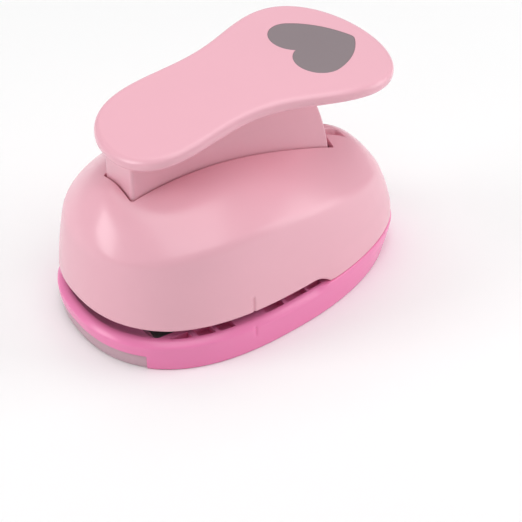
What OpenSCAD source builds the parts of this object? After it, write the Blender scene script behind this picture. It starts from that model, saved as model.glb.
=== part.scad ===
// Lever craft punch: a hinged lever drives a heart-shaped steel punch through paper.
// +X points from the paper mouth (front) to the lever's free end, +Z up.
// The origin lies on the table, under the middle of the base.

/* [Base and housing] */
// Length of the egg-shaped plan outline
body_l = 119.4; // [114:0.2:126]
// Width of the plan outline half way along
body_w = 72.8; // [70:0.2:78]
// How much the outline widens towards the front
egg = 0.23; // [0.15:0.01:0.25]
// Roundness of the outline, 2 is an ellipse and more is squarer
roundness = 2.32; // [2.2:0.02:2.5]
// Height of the base's top face
base_h = 10.6; // [10:0.1:10.8]
// Height at which the housing's wall starts to curve in
mouth_z = 14.9; // [14.8:0.1:15.5]
// Where the paper mouth ends at the rear
mouth_end_x = 16.6; // [16:0.1:20]
// Wall thickness of the housing
shell_t = 2.2; // [1.6:0.1:2.6]
// Height of the housing's crown line
crown_h = 53.55; // [52:0.05:56]
// Place of the highest point of the crown line
crown_x = -17.3; // [-20:0.1:-14]

/* [Cut shape] */
// Centre of the cut heart along the body
cut_x = -15.5; // [-17:0.1:-14]
// Radius of the heart's two lobes
lobe_r = 13.45; // [12.8:0.05:13.5]
// Sideways distance from the centre line to a lobe's centre
lobe_y = 12; // [11.8:0.1:12.4]
// Radius of the heart's long sides
side_r = 50; // [48:1:55]
// Radius of the heart's rounded tip
tip_r = 2.5; // [2:0.1:3]
// Gap between the punch head and the plates all round
cut_gap = 0.15; // [0.1:0.01:0.2]

/* [Lever] */
// Height of the pivot axis
pivot_z = 34; // [33:0.1:35]
// Place of the pivot axis along the body
pivot_x = -37; // [-38:0.1:-36]
// Thickness of the lever's top plate
plate_t = 4; // [3.6:0.1:4.4]
// Half width of the lever's box
box_hw = 8.5; // [8:0.1:8.8]
// Wall thickness of the lever's box
box_t = 1.8; // [1.5:0.1:2]
// Side clearance of the box in the housing's slot
slot_gap = 0.5; // [0.4:0.1:0.8]
// Length of the inlaid heart against the cut heart
inlay_long = 0.56; // [0.5:0.01:0.6]
// Width of the inlaid heart against the cut heart
inlay_wide = 0.67; // [0.6:0.01:0.7]
// Place of the inlaid heart along the lever
inlay_x = 32.7; // [30:0.1:33]
// Turn of the inlaid heart about the vertical
inlay_turn = -4; // [-8:1:0]

/* [Punch] */
// Thickness of the die plate
die_t = 3; // [2.5:0.1:3]
// Height of the paper slot between die plate and guide plate
slot_h = 3.4; // [3:0.1:3.4]
// Thickness of the guide plate
guide_t = 2; // [1.8:0.1:2]
// Radius of the guide posts
post_r = 2; // [1.8:0.1:2]
// Radius of the return springs to the middle of the wire
coil_r = 3.6; // [3.5:0.05:3.7]
// Radius of the spring wire
wire_r = 0.35; // [0.3:0.01:0.4]
// Turns of each return spring
coil_turns = 6; // [5:1:7]

/* [Hidden] */

// Colours
pale_pink = [0.96, 0.74, 0.79];
hot_pink = [0.93, 0.47, 0.69];
cover_grey = [0.72, 0.62, 0.65];
inlay_grey = [0.59, 0.54, 0.56];
steel = [0.75, 0.76, 0.78];
dark_steel = [0.35, 0.35, 0.38];
white_plastic = [0.9, 0.9, 0.88];
brass = [0.78, 0.62, 0.3];

around = 72;              // points round the plan outline
bite = 1;                 // how far a cutter runs past the face that it cuts
far = 60;                 // a cutter's reach past the whole object, from the middle
hair = 0.05;              // gap between fixed pieces that only just touch
draft_h = 9;              // height below which the base narrows
rear_draft = 3.4;         // how much narrower the base's foot is at the rear
front_draft = 1;          // the same at the front
housing_inset = 1;        // the housing stands this far inside the base outline
deck_z = 5;               // underside of the base's deck
wall_t = 3;               // thickness of the base's wall
slot_front_x = -42.2;
slot_rear_r = 71;         // slot end and lever end are arcs about the pivot
box_rear_r = 69;
box_front_x = -41.2;

die_z = base_h - die_t;
guide_z = base_h + slot_h;
plate_top = guide_z + guide_t;
die_front_x = -45.5;
die_rear_x = 16;
die_hw = 27.2;
guide_hw = 28.5;
spacer_x = 12.9;          // line of the spacer bar, rear screws and rear posts
post_places = [[-42.3, 18], [-42.3, -18], [spacer_x, 19.5], [spacer_x, -19.5]];
rear_screws = [[spacer_x, 9], [spacer_x, -9]];
front_screws = [[-42.6, 12], [-42.6, -12]];
frame_screw_places = [[-43.2, 5], [-43.2, -5]];
body_screws = [[27, 20], [27, -20], [45, 9], [45, -9]];
head_screw_places = [[cut_x - 9.2, 12], [cut_x - 9.2, -12], [cut_x + 12.5, 0]];

stroke = 5.1;             // travel of the punch
head_z = plate_top - 1.6; // cutting face at rest, inside the guide plate
carrier_z = plate_top + stroke + 0.9;
carrier_t = 5;
ear_r = 5.4;              // spring housings of the carrier
ear_top = carrier_z + 11;
pocket_top = carrier_z + 7.7;
seat_t = 0.6;
bush_r = 2.8;
running_gap = 0.05;
screw_r = 1.4;
sunk_head = 1.25;         // depth of the sunk screw heads in the die plate
pin_r = 2.5;
bush_out_r = 4;           // pivot bushes in the lever's walls
press_r = 4;              // pressure pin's barrel
press_end_r = 2;          // and its ends in the lever's walls
press_z = pivot_z;
pad_top = press_z - press_r - 0.1;
pad_t = 0.8;
cheek_y = 9.4;            // inner face of the pivot frame's cheeks
cheek_t = 1.5;

// ---------- shared shapes ----------

function spow(v, p) = sign(v) * pow(abs(v), p);

// Point of the egg-shaped outline at angle t, moved in by i
function egg_point(t, i) =
    let (c = spow(cos(t), 2 / roundness), s = spow(sin(t), 2 / roundness))
    [(body_l / 2 - i) * c, (body_w / 2 - i) * s * (1 - egg * c)];

function front_share(t) = pow(max(-cos(t), 0), 2);
function rear_share(t) = pow(max(cos(t), 0), 2);

// The base's outline at height z: its foot is drawn in at the ends
function base_point(t, z, i) =
    let (d = max(0, 1 - z / draft_h))
    egg_point(t, i + d * (front_draft * front_share(t) + rear_draft * rear_share(t)));

// Closed solid through rings of n points, each ring flat and at its own height
module ring_solid(rings) {
    n = len(rings[0]);
    m = len(rings);
    sides = [for (i = [0:m - 2]) for (j = [0:n - 1])
        [i * n + j, (i + 1) * n + j, (i + 1) * n + (j + 1) % n, i * n + (j + 1) % n]];
    floor_face = [for (j = [0:n - 1]) j];
    top_face = [for (j = [n - 1:-1:0]) (m - 1) * n + j];
    polyhedron([for (r = rings) each r], concat(sides, [floor_face, top_face]), convexity = 6);
}

// How far a place on the outline lies along the mouth, 0 behind its end
function mouth_share(t) = min(max((mouth_end_x - 1 - egg_point(t, 0)[0]) / 6, 0), 1);

// Solid of the base's outline through levels of [height, inset]. A third number is the
// inset behind the mouth's end.
module base_solid(levels) {
    ring_solid([for (l = levels) [for (j = [0:around - 1])
        let (t = j * 360 / around, k = len(l) > 2 ? mouth_share(t) : 1,
            p = base_point(t, l[0], k < 1 ? k * l[1] + (1 - k) * l[2] : l[1]))
        [p[0], p[1], l[0]]]]);
}

function arc(c, r, a0, a1, n) = [for (i = [0:n]) let (a = a0 + (a1 - a0) * i / n)
    c + r * [cos(a), sin(a)]];

// Heart with its tip towards +X, centred on its length, grown by g all round.
// Lobe arc, long side arc and tip arc meet tangentially.
side_start = 70;
heart_shift = -2.7;
function heart_half(g, tip_rad) =
    let (
        r = lobe_r + g,
        reach = side_r - lobe_r,
        lobe = [-6.5 + heart_shift, lobe_y],
        side = lobe - reach * [cos(side_start), sin(side_start)],
        tip_a = asin(-side[1] / (side_r - tip_rad)),
        tip = side + (side_r - tip_rad) * [cos(tip_a), sin(tip_a)],
        notch_a = 180 + asin(lobe_y / r)
    )
    concat(
        arc(lobe, r, notch_a, side_start, 18),
        arc(side, side_r + g, side_start - 5, tip_a + 5, 5),
        arc(tip, tip_rad + g, tip_a, 0, 3));
function heart_points(g, tip_rad = tip_r) =
    let (h = heart_half(g, tip_rad), n = len(h))
    concat(h, [for (i = [n - 2:-1:1]) [h[i][0], -h[i][1]]]);

// A side outline (x along the body, y as height) made 2 * hw wide
module side_extrude(hw) {
    translate([0, hw, 0]) rotate([90, 0, 0]) linear_extrude(2 * hw) children();
}

// Round hole across the body at [x, z]
module cross_hole(x, z, r) {
    translate([x, 0, z]) rotate([90, 0, 0]) cylinder(r = r, h = far, center = true, $fn = 48);
}

// Round holes down through a part at each of the places
module down_holes(places, r, from) {
    for (p = places) {
        translate([p[0], p[1], from]) cylinder(r = r, h = far, $fn = 32);
    }
}

module screw(x, y, under_head, length, shank_r, head_r, head_h) {
    translate([x, y, under_head - length]) cylinder(r = shank_r, h = length, $fn = 32);
    translate([x, y, under_head]) cylinder(r = head_r, h = head_h, $fn = 32);
}

// ---------- base ----------

// Plan of a plate from x0 to x1, its front corners cut off
module plate_outline(x0, x1, hw, corner) {
    polygon([[x0, -hw + corner], [x0 + corner, -hw], [x1, -hw],
        [x1, hw], [x0 + corner, hw], [x0, hw - corner]]);
}

module die_outline(g) {
    plate_outline(die_front_x - g, die_rear_x + g, die_hw + g, 0.8);
}

chip_x = [-40, 9];        // chip opening through base and cover
chip_hw = 26.5;
chip_corner = 12;
module chip_outline(g) {
    c = chip_corner;
    x0 = chip_x[0] - g;
    x1 = chip_x[1] + g;
    y1 = chip_hw + g;
    polygon([[x0, -y1 + c], [x0 + c, -y1], [x1 - c, -y1], [x1, -y1 + c],
        [x1, y1 - c], [x1 - c, y1], [x0 + c, y1], [x0, y1 - c]]);
}

// Open pockets between the rim and the die plate: the ribs between them stay.
// Each pocket is [start, end] measured along the body from the cut centre.
pockets = [[-26.6, -20], [-18.2, -12.7], [-11.3, -5.9], [5.7, 12.9], [14.2, 22.5], [23.5, 29]];
pocket_depth = 2.4;
module pocket_cutter() {
    die_wall = 2.2;
    intersection() {
        base_solid([[base_h - pocket_depth, 2.5], [base_h + bite, 2.5]]);
        for (p = pockets, side = [-1, 1]) {
            translate([cut_x + p[0], side * (die_hw + die_wall + far / 2) - far / 2, 0])
                cube([p[1] - p[0], far, far]);
        }
    }
}

// Everything in front of the place x
module front_half(x) {
    translate([-2 * far, -far, -bite]) cube([2 * far + x, 2 * far, far]);
}

// The mouth's floor falls away in front of the die plate
module mouth_ramp() {
    ramp_low = 2.2;
    intersection() {
        base_solid([[base_h - ramp_low, 8], [base_h, 3], [base_h + bite, 2.2]]);
        front_half(die_front_x + 0.5);
    }
}

module base_shell() {
    color(hot_pink) resize([0, 0, 0]) difference() {
        base_solid([[0, 0.5], [0.6, 0], [8.5, 0, 0.1], [9.3, 0.5, 0.1], [10.2, 1.46, 0.2],
            [base_h, 2.4, 0.9]]);
        // hollow underside, leaving a wall round the chip opening and the screws
        difference() {
            base_solid([[-bite, wall_t], [deck_z, wall_t]]);
            linear_extrude(deck_z + bite) chip_outline(2.5);
        }
        translate([0, 0, -bite]) linear_extrude(base_h + 2 * bite) chip_outline(0);
        translate([0, 0, die_z]) linear_extrude(die_t + bite) die_outline(hair);
        pocket_cutter();
        mouth_ramp();
        // notch in the front of the foot for the cover's lip
        intersection() {
            front_half(lip_x);
            base_solid([[-bite, -bite], [lip_h + hair, -bite]]);
        }
        // recess that lets the cover sit flush
        base_solid([[-bite, wall_t], [cover_t + hair, wall_t]]);
        down_holes(body_screws, 1.7, 0);
        down_holes(concat(rear_screws, front_screws), screw_r + 0.1, deck_z + 0.4);
    }
}

lip_x = -48.8;            // the cover's lip shows in front of this
lip_h = 5;
cover_t = 1.6;
module bottom_cover() {
    color(cover_grey) resize([0, 0, 0]) difference() {
        union() {
            base_solid([[0, wall_t + 0.1], [cover_t, wall_t + 0.1]]);
            intersection() {
                base_solid([[0, 0.9], [0.7, 0.4], [4.4, 0.4], [lip_h, 0.9]]);
                front_half(lip_x - 0.1);
            }
        }
        // hollow behind the lip
        intersection() {
            base_solid([[cover_t, wall_t + 2], [lip_h + bite, wall_t + 2]]);
            front_half(lip_x + bite);
        }
        translate([0, 0, -bite]) linear_extrude(cover_t + 2 * bite) chip_outline(2.6);
    }
}

// ---------- housing ----------

// Height of the crown line along the body
function crown_z(x) =
    let (u = x - crown_x, near = u < 0)
    crown_h - (near ? 4.23 : 4.7) * u * u / 1000 + (near ? 1.04 : 0.72) * pow(u, 4) / 1e6;

spine_x = [-41.4, 30.7];  // the rings shrink towards this stretch of the crown line
crown_power = 2.35;

// One point of the housing's skin at angle t. wall runs 0 to 1 up to the shoulder,
// then crown runs 1 to 0 from the shoulder in to the spine; g moves the skin inwards.
function skin_point(t, wall, crown, g) =
    let (
        f = front_share(t), r = rear_share(t), s = 1 - f - r,
        shoulder = 0.945 * s + 0.874 * f + 0.837 * r,
        rise = 0.688 * s + 0.603 * f + 0.418 * r,
        foot = egg_point(t, housing_inset + g),
        hub = [spine_x[0] + (spine_x[1] - spine_x[0]) * (1 + cos(t)) / 2, 0],
        reach = crown < 1 ? shoulder * crown : 1 - (1 - shoulder) * pow(wall, 1.5),
        p = hub + (foot - hub) * reach,
        edge = hub + (foot - hub) * shoulder,
        edge_top = crown_z(edge[0]) - g,
        edge_z = mouth_z + rise * (edge_top - mouth_z),
        z = crown < 1
            ? crown_z(p[0]) - g - (edge_top - edge_z) * pow(crown, crown_power)
            : mouth_z + (edge_z - mouth_z) * wall
    ) [p[0], p[1], z];

// Closed dome: rings up the wall and over the crown, closed along the spine
module dome(g, foot_z, walls, crowns) {
    n = around;
    foot = [for (j = [0:n - 1]) let (p = skin_point(j * 360 / n, 0, 1, g)) [p[0], p[1], foot_z]];
    wall_rings = [for (i = [0:walls]) [for (j = [0:n - 1]) skin_point(j * 360 / n, i / walls, 1, g)]];
    crown_rings = [for (i = [crowns - 1:-1:1])
        [for (j = [0:n - 1]) skin_point(j * 360 / n, 1, i / crowns, g)]];
    spine = [for (j = [0:n / 2]) skin_point(j * 360 / n, 1, 0, g)];
    rings = concat([foot], wall_rings, crown_rings);
    m = len(rings);
    sides = [for (i = [0:m - 2]) for (j = [0:n - 1])
        [i * n + j, (i + 1) * n + j, (i + 1) * n + (j + 1) % n, i * n + (j + 1) % n]];
    function on_spine(j) = m * n + (j <= n / 2 ? j : n - j);
    cap = [for (j = [0:n - 1]) let (a = (m - 1) * n + j, b = (m - 1) * n + (j + 1) % n,
        c = on_spine(j), d = on_spine((j + 1) % n)) each [[a, c, b], [c, d, b]]];
    floor_face = [for (j = [0:n - 1]) j];
    polyhedron(concat([for (r = rings) each r], spine), concat(sides, cap, [floor_face]),
        convexity = 6);
}

// The lever's slot, straight in plan, its rear end an arc about the pivot
module slot_cutter() {
    hw = box_hw + slot_gap;
    intersection() {
        translate([slot_front_x, -hw, pivot_z - 4]) cube([2 * far, 2 * hw, far]);
        translate([pivot_x, 0, pivot_z]) rotate([90, 0, 0])
            cylinder(r = slot_rear_r, h = 4 * hw, center = true, $fn = 160);
    }
}

// Leaf-shaped relief in the crown behind the slot
module relief_cutter() {
    half = [[32, 4], [37, 3.7], [41, 2.4], [44.6, 0]];
    relief_depth = 3.2;       // below the crown line at the leaf's middle
    translate([0, 0, crown_z(40) - relief_depth]) linear_extrude(far)
        polygon(concat(half, [for (i = [2:-1:0]) [half[i][0], -half[i][1]]]));
}

// Everything below the housing's edge in front of the mouth's end: the edge falls
// slightly towards the rear, then curves down to the base
module mouth_cutter() {
    lip = [[-2 * far, 15.7], [-62, 15.7], [-43, 14.82], [-16, 14.5]];
    bend_x = 9;
    bend_z = 14.2;
    bend = [for (k = [0:0.11:1.1])
        [bend_x + (mouth_end_x - bend_x) * k, bend_z - (bend_z - base_h) * k * k]];
    side_extrude(far)
        polygon(concat([[bend[10][0], -bite], [-2 * far, -bite]], lip, bend));
}

module upper_housing() {
    boss_r = 3.4;
    boss_hole_top = 26;
    color(pale_pink) resize([0, 0, 0]) difference() {
        union() {
            difference() {
                dome(0, base_h, 6, 9);
                dome(shell_t, base_h - bite, 5, 7);
            }
            intersection() {
                dome(shell_t / 2, base_h, 5, 7);
                union() {
                    for (p = body_screws) {
                        translate([p[0], p[1], base_h]) cylinder(r = boss_r, h = far, $fn = 24);
                    }
                }
            }
        }
        mouth_cutter();
        slot_cutter();
        relief_cutter();
        intersection() {
            down_holes(body_screws, 1.6, 0);
            cylinder(r = far, h = boss_hole_top);
        }
    }
}

module housing_screws() {
    color(steel) for (p = body_screws) {
        translate([p[0], p[1], deck_z - 2]) cylinder(r = 2.8, h = 2, $fn = 32);
        translate([p[0], p[1], deck_z]) cylinder(r = screw_r, h = 19, $fn = 32);
    }
}

// ---------- die set ----------

module die_plate() {
    color(dark_steel) translate([0, 0, die_z]) difference() {
        linear_extrude(die_t) difference() {
            die_outline(0);
            translate([cut_x, 0]) polygon(heart_points(0));
        }
        down_holes(concat(rear_screws, front_screws), screw_r + 0.1, -bite);
        down_holes(front_screws, 2.8, die_t - sunk_head - hair);
    }
}

module spacer_bar() {
    color(dark_steel) translate([0, 0, base_h]) difference() {
        translate([spacer_x - 3, -die_hw + 1, 0]) cube([6, 2 * die_hw - 2, slot_h]);
        down_holes(rear_screws, screw_r + 0.1, -bite);
    }
}

module guide_plate() {
    color(steel) translate([0, 0, guide_z]) difference() {
        linear_extrude(guide_t) difference() {
            plate_outline(-45, die_rear_x - 1, guide_hw, 6);
            translate([cut_x, 0]) polygon(heart_points(0));
        }
        down_holes(rear_screws, screw_r + 0.1, -bite);
        down_holes(frame_screw_places, 1.2, -bite);
        down_holes(post_places, post_r, -bite);
    }
}

module die_screws() {
    color(steel) {
        for (p = rear_screws) {
            screw(p[0], p[1], plate_top, plate_top - deck_z - 0.6, screw_r, 2.6, 1.4);
        }
        for (p = front_screws) {
            let (seat = base_h - sunk_head)
                screw(p[0], p[1], seat, seat - deck_z - 0.6, screw_r, 2.7, 1.2);
        }
    }
}

post_top = ear_top + 2.4;
module guide_posts() {
    groove_z = ear_top + 0.3;
    color(steel) for (p = post_places) {
        translate([p[0], p[1], 0]) rotate_extrude($fn = 32)
            polygon([[0, guide_z], [post_r, guide_z], [post_r, groove_z], [post_r - 0.4, groove_z],
                [post_r - 0.4, groove_z + 0.8], [post_r, groove_z + 0.8], [post_r, post_top - 0.4],
                [post_r - 0.4, post_top], [0, post_top]]);
    }
}

module post_clips() {
    color(dark_steel) for (p = post_places) {
        translate([p[0], p[1], ear_top + 0.35]) rotate_extrude($fn = 32)
            translate([post_r - 0.4, 0]) square([2, 0.7]);
    }
}

module spring_seats() {
    color(steel) for (p = post_places) {
        translate([p[0], p[1], plate_top]) rotate_extrude($fn = 32)
            translate([post_r + 0.1, 0]) square([2.5, seat_t]);
    }
}

// One coil spring: a wire of six flats swept along a helix
function coil_point(a, b, low, high) =
    let (k = a / (360 * coil_turns), r = coil_r + wire_r * cos(b))
    [r * cos(a), r * sin(a), low + (high - low) * k + wire_r * sin(b)];
module coil(low, high) {
    per_turn = 12;
    flats = 6;
    steps = per_turn * coil_turns;
    points = [for (i = [0:steps]) for (j = [0:flats - 1])
        coil_point(i * 360 / per_turn, j * 360 / flats, low, high)];
    sides = [for (i = [0:steps - 1]) for (j = [0:flats - 1])
        let (a = i * flats + j, b = i * flats + (j + 1) % flats)
        each [[a, a + flats, b], [b, a + flats, b + flats]]];
    start = [for (j = [0:flats - 1]) j];
    finish = [for (j = [flats - 1:-1:0]) steps * flats + j];
    polyhedron(points, concat(sides, [start, finish]), convexity = 10);
}

module return_springs() {
    low = plate_top + seat_t + wire_r + hair;
    high = pocket_top - wire_r - hair;
    color(steel) for (p = post_places) {
        translate([p[0], p[1], 0]) coil(low, high);
    }
}

// ---------- pivot ----------

// Steel bracket: a foot on the guide plate and two cheeks that carry the pin
module pivot_frame() {
    foot_hw = 12.4;
    foot_t = 1.2;
    foot_x = [die_front_x + 1.2, -40];
    eye_r = 4.6;
    over_carrier = carrier_z + carrier_t + 0.8;
    color(steel) difference() {
        union() {
            translate([foot_x[0], -foot_hw, plate_top])
                cube([foot_x[1] - foot_x[0], 2 * foot_hw, foot_t]);
            for (side = [-1, 1]) {
                translate([0, side * (cheek_y + cheek_t / 2) + cheek_t / 2, 0]) rotate([90, 0, 0])
                    linear_extrude(cheek_t) {
                        translate([pivot_x, pivot_z]) circle(r = eye_r, $fn = 48);
                        polygon([[foot_x[0], plate_top], [foot_x[1], plate_top],
                            [foot_x[1], over_carrier],
                            [pivot_x + eye_r, pivot_z - 3], [pivot_x + eye_r, pivot_z],
                            [pivot_x - eye_r, pivot_z], [foot_x[0], 24]]);
                    }
            }
        }
        cross_hole(pivot_x, pivot_z, pin_r);
        intersection() {
            down_holes(frame_screw_places, 1.3, plate_top - bite);
            cylinder(r = far, h = plate_top + foot_t + bite);
        }
    }
}

module frame_screws() {
    color(steel) for (p = frame_screw_places) {
        screw(p[0], p[1], plate_top + 1.2, 3, 1.2, 2.2, 1.2);
    }
}

pin_end = 12.6;
clip_y = cheek_y + cheek_t + 0.1;
module pivot_pin() {
    color(steel) translate([pivot_x, 0, pivot_z]) rotate([90, 0, 0]) rotate_extrude($fn = 48)
        polygon([[0, -pin_end], [pin_r, -pin_end], [pin_r, -clip_y - 0.8], [pin_r - 0.5, -clip_y - 0.8],
            [pin_r - 0.5, -clip_y], [pin_r, -clip_y], [pin_r, clip_y], [pin_r - 0.5, clip_y],
            [pin_r - 0.5, clip_y + 0.8], [pin_r, clip_y + 0.8], [pin_r, pin_end], [0, pin_end]]);
}

module pin_clips() {
    color(dark_steel) for (side = [-1, 1]) {
        translate([pivot_x, side * (clip_y + 0.4), pivot_z]) rotate([90, 0, 0])
            rotate_extrude($fn = 48) translate([pin_r - 0.5, -0.35]) square([2.2, 0.7]);
    }
}

// ---------- lever ----------

// Height of the lever's top face along the body
function lever_top(x) = 75.84 + 0.124 * x - 2.364 * x * x / 1000;

// Plan outline of the lever: a long oval, wider at the rear, with a waist
lever_mid = 0.8;
lever_long = [46.2, 2.3, 2.5];
lever_wide = [28.1, 4.8, 7.6];
function lever_xy(t) = [
    lever_mid + lever_long[0] * cos(t) + lever_long[1] * cos(2 * t) + lever_long[2] * cos(3 * t),
    lever_wide[0] * sin(t) + lever_wide[1] * sin(2 * t) + lever_wide[2] * sin(3 * t)];
function lever_dir(t) =
    let (d = [
        -lever_long[0] * sin(t) - 2 * lever_long[1] * sin(2 * t) - 3 * lever_long[2] * sin(3 * t),
        lever_wide[0] * cos(t) + 2 * lever_wide[1] * cos(2 * t) + 3 * lever_wide[2] * cos(3 * t)])
    d / norm(d);
function lever_point(t, i, down) =
    let (d = lever_dir(t), p = lever_xy(t) + i * [-d[1], d[0]])
    [p[0], p[1], lever_top(p[0]) - down];

// Curved plate through rims of [inset, distance below the top face], from the bottom up
module lever_slab(rims) {
    n = around;
    m = len(rims);
    points = [for (r = rims) for (j = [0:n - 1]) lever_point(j * 360 / n, r[0], r[1])];
    sides = [for (i = [0:m - 2]) for (j = [0:n - 1])
        [i * n + j, (i + 1) * n + j, (i + 1) * n + (j + 1) % n, i * n + (j + 1) % n]];
    // strips across the plate: points j and n - j lie at the same place along it
    function strip(j, base) = base + j % n;
    under = [for (j = [0:n / 2 - 1]) j == 0
        ? [0, 1, n - 1]
        : j == n / 2 - 1 ? [j, j + 1, n - j] : [j, j + 1, n - j - 1, n - j]];
    top = [for (f = under) [for (k = [len(f) - 1:-1:0]) (m - 1) * n + f[k]]];
    polyhedron(points, concat(sides, under, top), convexity = 6);
}

inlay_t = 0.8;
inlay_tip_r = 3.4;        // blunter than the cut heart's
module inlay_prism(g) {
    translate([inlay_x, 0, 60]) rotate(inlay_turn) linear_extrude(40)
        scale([inlay_long, inlay_wide]) polygon(heart_points(g, inlay_tip_r));
}

module lever_cover() {
    rim = 1.5;
    color(pale_pink) resize([0, 0, 0]) difference() {
        lever_slab([[rim, plate_t], [0.5, plate_t - 0.6], [0, plate_t - 1.6], [0, 1.5],
            [0.5, 0.5], [rim, 0]]);
        // shallow hollow underside
        lever_slab([[3, plate_t + bite], [3, 2.4]]);
        intersection() {
            lever_slab([[3.5, inlay_t], [3.5, -bite]]);
            inlay_prism(hair);
        }
    }
}

module heart_inlay() {
    color(inlay_grey) resize([0, 0, 0]) intersection() {
        lever_slab([[4, inlay_t - 0.02], [4, 0]]);
        inlay_prism(-hair);
    }
}

// Side outline of the lever's box, walls i inside the outer faces and open below if low < 0
function core_outline(i, roof, low) =
    let (
        steps = 14,
        x0 = box_front_x + i,
        r = box_rear_r - i,
        top_a = 26,
        low_a = asin((37 - pivot_z) / box_rear_r),
        x1 = pivot_x + r * cos(top_a),
        rear = [for (k = [0:8]) let (a = low_a + (top_a - low_a) * k / 8)
            [pivot_x + r * cos(a), pivot_z + r * sin(a)]],
        roof_line = [for (k = [0:steps]) let (x = x1 + (x0 - x1) * k / steps)
            [x, lever_top(x) - roof]],
        sole = [[x0, 29 - low], [-32, 29.5 - low], [-20, 31 - low], [-10, 31 - low], [0, 33 - low],
            [rear[0][0], 37 - low]]
    )
    concat(rear, roof_line, sole);

module lever_core() {
    seat = 2.4 + hair;
    rib_x = [-27, 4, 18];
    rib_t = 1.6;
    rib_foot = 42;
    color(pale_pink) difference() {
        union() {
            difference() {
                side_extrude(box_hw) polygon(core_outline(0, seat, 0));
                side_extrude(box_hw - box_t) polygon(core_outline(box_t, seat + box_t, 3));
            }
            // cross ribs inside the box
            for (x = rib_x) {
                translate([x, bite - box_hw, rib_foot])
                    cube([rib_t, 2 * (box_hw - bite), lever_top(x) - seat - bite - rib_foot]);
            }
        }
        cross_hole(pivot_x, pivot_z, bush_out_r);
        cross_hole(cut_x, press_z, press_end_r);
    }
}

module pivot_bushes() {
    inner = box_hw - box_t - 0.6;
    color(brass) for (side = [0, 180]) {
        translate([pivot_x, 0, pivot_z]) rotate([90, 0, side]) rotate_extrude($fn = 48)
            polygon([[pin_r + running_gap, inner], [bush_out_r, inner], [bush_out_r, box_hw],
                [bush_out_r + 0.9, box_hw], [bush_out_r + 0.9, box_hw + 0.6],
                [pin_r + running_gap, box_hw + 0.6]]);
    }
}

module pressure_pin() {
    barrel = box_hw - box_t;
    color(steel) translate([cut_x, 0, press_z]) rotate([90, 0, 0]) rotate_extrude($fn = 48)
        polygon([[0, -box_hw], [press_end_r, -box_hw], [press_end_r, -barrel],
            [press_r, -barrel], [press_r, barrel], [press_end_r, barrel],
            [press_end_r, box_hw], [0, box_hw]]);
}

// ---------- punch ----------

module punch_head() {
    color(steel) translate([cut_x, 0, head_z]) linear_extrude(carrier_z - head_z)
        polygon(heart_points(-cut_gap));
}

// Block under the pressure pin between two heights
module wear_block(low, high) {
    translate([-24, -6, low]) cube([17, 12, high - low]);
}

module punch_carrier() {
    pad_base = pad_top - pad_t;
    color(white_plastic) difference() {
        union() {
            translate([0, 0, carrier_z]) linear_extrude(carrier_t)
                polygon([[-37, -23.5], [9, -23.5], [9, 23.5], [-37, 23.5], [-39, 14], [-39, -14]]);
            for (p = post_places) {
                translate([p[0], p[1], carrier_z])
                    cylinder(r = ear_r, h = ear_top - carrier_z, $fn = 48);
            }
            wear_block(carrier_z + carrier_t - bite, pad_base);
        }
        intersection() {
            down_holes(post_places, coil_r + wire_r + 0.2, carrier_z - bite);
            cylinder(r = far, h = pocket_top);
        }
        down_holes(post_places, bush_r, carrier_z);
        down_holes(head_screw_places, screw_r, carrier_z - bite);
    }
}

module carrier_bushes() {
    color(brass) for (p = post_places) {
        translate([p[0], p[1], 0]) rotate_extrude($fn = 48)
            translate([post_r + running_gap, carrier_z])
                square([bush_r - post_r - running_gap, ear_top - carrier_z]);
    }
}

module wear_plate() {
    color(dark_steel) wear_block(pad_top - pad_t, pad_top);
}

module head_screws() {
    color(steel) for (p = head_screw_places) {
        screw(p[0], p[1], carrier_z + carrier_t, carrier_t, screw_r, 2.6, 1.4);
    }
}

base_shell();
bottom_cover();
upper_housing();
die_plate();
spacer_bar();
guide_plate();
die_screws();
guide_posts();
post_clips();
spring_seats();
return_springs();
pivot_frame();
frame_screws();
pivot_pin();
pin_clips();
housing_screws();
lever_cover();
lever_core();
heart_inlay();
pivot_bushes();
pressure_pin();
punch_head();
punch_carrier();
carrier_bushes();
wear_plate();
head_screws();
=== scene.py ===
"""Looks of a lever craft punch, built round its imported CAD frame. Lengths in the shape code are
millimetres in the part's frame; every mesh is written in metres."""
import math

import bmesh
import bpy
import numpy as np
from mathutils import Matrix, Vector


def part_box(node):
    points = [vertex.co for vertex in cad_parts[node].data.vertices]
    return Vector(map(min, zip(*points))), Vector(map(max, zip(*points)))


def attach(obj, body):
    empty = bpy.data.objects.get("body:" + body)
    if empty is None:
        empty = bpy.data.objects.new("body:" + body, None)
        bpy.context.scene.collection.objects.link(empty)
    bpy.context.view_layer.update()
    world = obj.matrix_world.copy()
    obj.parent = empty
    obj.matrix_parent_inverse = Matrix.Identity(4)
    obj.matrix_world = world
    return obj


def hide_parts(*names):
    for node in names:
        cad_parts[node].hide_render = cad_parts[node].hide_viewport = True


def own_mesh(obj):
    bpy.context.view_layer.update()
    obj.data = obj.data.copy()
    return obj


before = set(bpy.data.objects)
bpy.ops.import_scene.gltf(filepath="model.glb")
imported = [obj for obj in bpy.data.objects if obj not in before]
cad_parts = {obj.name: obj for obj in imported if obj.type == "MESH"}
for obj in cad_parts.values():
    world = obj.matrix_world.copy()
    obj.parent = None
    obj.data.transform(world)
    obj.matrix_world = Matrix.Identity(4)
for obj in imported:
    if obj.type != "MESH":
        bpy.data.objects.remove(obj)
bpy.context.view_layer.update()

MM = 0.001


def top_of(node):
    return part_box(node)[1].z / MM


def low_of(node):
    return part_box(node)[0].z / MM


# ---------------------------------------------------------------- shape of the body

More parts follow.
